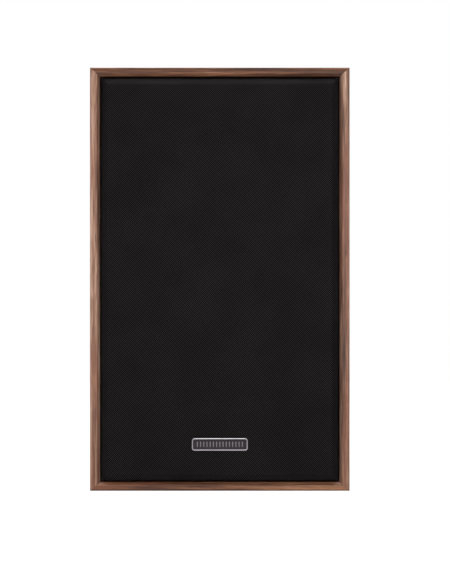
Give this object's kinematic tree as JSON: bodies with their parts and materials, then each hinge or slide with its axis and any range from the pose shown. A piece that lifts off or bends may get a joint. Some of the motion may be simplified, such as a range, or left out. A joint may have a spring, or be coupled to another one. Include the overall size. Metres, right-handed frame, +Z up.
{
  "type": "bookshelf speaker",
  "caption": "Two-way bookshelf loudspeaker: mitred walnut-look cabinet, pull-off cloth grille, cone woofer, dome tweeter, rear port and binding posts.",
  "frame": {"origin": "centre of the cabinet's underside", "axes": "+Z up, the front grille faces -Y, +X to the right seen from the front"},
  "size_m": [0.235, 0.2446, 0.383],
  "materials": {
    "walnut_veneer": "dark walnut-grain foil with a low satin sheen",
    "black_baffle": "black fine-textured foil",
    "black_rear_board": "black fine-textured foil",
    "wadding": "loose white polyester fibre",
    "black_plastic": "moulded black plastic with a fine spark texture",
    "basket_metal": "black powder-coated pressed steel",
    "gasket_rubber": "black foam rubber",
    "surround_rubber": "smooth black butyl rubber",
    "spider_cloth": "resin-doped woven cloth",
    "plated_steel": "zinc-plated steel",
    "ferrite": "dark sintered ferrite",
    "black_screw": "black-oxide steel",
    "brass_terminal": "gold-toned plated brass",
    "circuit_board": "green resin board",
    "copper_winding": "enamelled copper wire",
    "capacitor_film": "yellow film sleeve",
    "resistor_ceramic": "unglazed white ceramic",
    "lead_insulation": "red insulated twin wire",
    "woofer_cone_pulp": "pressed black paper pulp",
    "dust_cap_black": "satin black pressed cap",
    "dome_silk": "coated black silk",
    "grille_plastic": "moulded black plastic",
    "grille_cloth": "open black knit speaker cloth",
    "badge_metal": "pewter-toned metal with a polished rim",
    "knob_red": "red plastic",
    "knob_black": "black plastic"
  },
  "bodies": {
    "cabinet": {"left_side_panel": "walnut_veneer", "right_side_panel": "walnut_veneer", "top_panel": "walnut_veneer", "bottom_panel": "walnut_veneer", "front_baffle": "black_baffle", "rear_panel": "black_rear_board", "damping_pad": "wadding", "port_tube": "black_plastic", "woofer_basket": "basket_metal", "woofer_gasket": "gasket_rubber", "woofer_surround": "surround_rubber", "woofer_spider": "spider_cloth", "woofer_top_plate": "plated_steel", "woofer_magnet": "ferrite", "woofer_yoke": "plated_steel", "woofer_screw_1": "black_screw", "woofer_screw_2": "black_screw", "woofer_screw_3": "black_screw", "woofer_screw_4": "black_screw", "tweeter_faceplate": "black_plastic", "tweeter_top_plate": "plated_steel", "tweeter_magnet": "ferrite", "tweeter_yoke": "plated_steel", "tweeter_screw_1": "black_screw", "tweeter_screw_2": "black_screw", "tweeter_screw_3": "black_screw", "terminal_cup": "black_plastic", "terminal_screw_1": "black_screw", "terminal_screw_2": "black_screw", "terminal_screw_3": "black_screw", "terminal_screw_4": "black_screw", "positive_stud": "brass_terminal", "negative_stud": "brass_terminal", "positive_stud_nut": "brass_terminal", "negative_stud_nut": "brass_terminal", "crossover_board": "circuit_board", "woofer_inductor": "copper_winding", "tweeter_inductor": "copper_winding", "woofer_capacitor": "capacitor_film", "tweeter_capacitor": "capacitor_film", "tweeter_resistor": "resistor_ceramic", "woofer_lead": "lead_insulation", "tweeter_lead": "lead_insulation", "grille_socket_1": "black_plastic", "grille_socket_2": "black_plastic", "grille_socket_3": "black_plastic", "grille_socket_4": "black_plastic"},
    "grille": {"grille_frame": "grille_plastic", "grille_cloth": "grille_cloth", "badge": "badge_metal"},
    "woofer_diaphragm": {"woofer_cone": "woofer_cone_pulp", "woofer_dust_cap": "dust_cap_black", "woofer_voice_coil": "copper_winding"},
    "tweeter_diaphragm": {"tweeter_dome": "dome_silk", "tweeter_voice_coil": "copper_winding"},
    "positive_insert_body": {"positive_cap_insert": "brass_terminal"},
    "positive_cap_body": {"positive_cap": "knob_red"},
    "negative_insert_body": {"negative_cap_insert": "brass_terminal"},
    "negative_cap_body": {"negative_cap": "knob_black"}
  },
  "joints": [
    {"name": "grille_pull", "type": "slide", "parent": "cabinet", "child": "grille", "axis": [0, -1, 0], "range_m": [0, 0.1]},
    {"name": "woofer_stroke", "type": "slide", "parent": "cabinet", "child": "woofer_diaphragm", "axis": [0, -1, 0], "range_m": [-0.005, 0.005], "stiffness_N_per_m": 1000, "deforming": ["woofer_surround", "woofer_spider"]},
    {"name": "tweeter_stroke", "type": "slide", "parent": "cabinet", "child": "tweeter_diaphragm", "axis": [0, -1, 0], "range_m": [-0.0004, 0.0004], "stiffness_N_per_m": 500},
    {"name": "positive_cap_travel", "type": "slide", "parent": "cabinet", "child": "positive_insert_body", "axis": [0, 1, 0], "range_m": [0, 0.0034]},
    {"name": "positive_cap_turn", "type": "hinge", "parent": "positive_insert_body", "child": "positive_cap_body", "pos_m": [-0.0095, 0.105, 0.096], "axis": [0, 1, 0], "range_deg": [0, 990]},
    {"name": "negative_cap_travel", "type": "slide", "parent": "cabinet", "child": "negative_insert_body", "axis": [0, 1, 0], "range_m": [0, 0.0034]},
    {"name": "negative_cap_turn", "type": "hinge", "parent": "negative_insert_body", "child": "negative_cap_body", "pos_m": [0.0095, 0.105, 0.096], "axis": [0, 1, 0], "range_deg": [0, 990]}
  ],
  "couplings": [
    {"joint": "positive_cap_turn", "follows": "positive_cap_travel", "rad_per_m": 5026.5},
    {"joint": "negative_cap_turn", "follows": "negative_cap_travel", "rad_per_m": 5026.5}
  ]
}
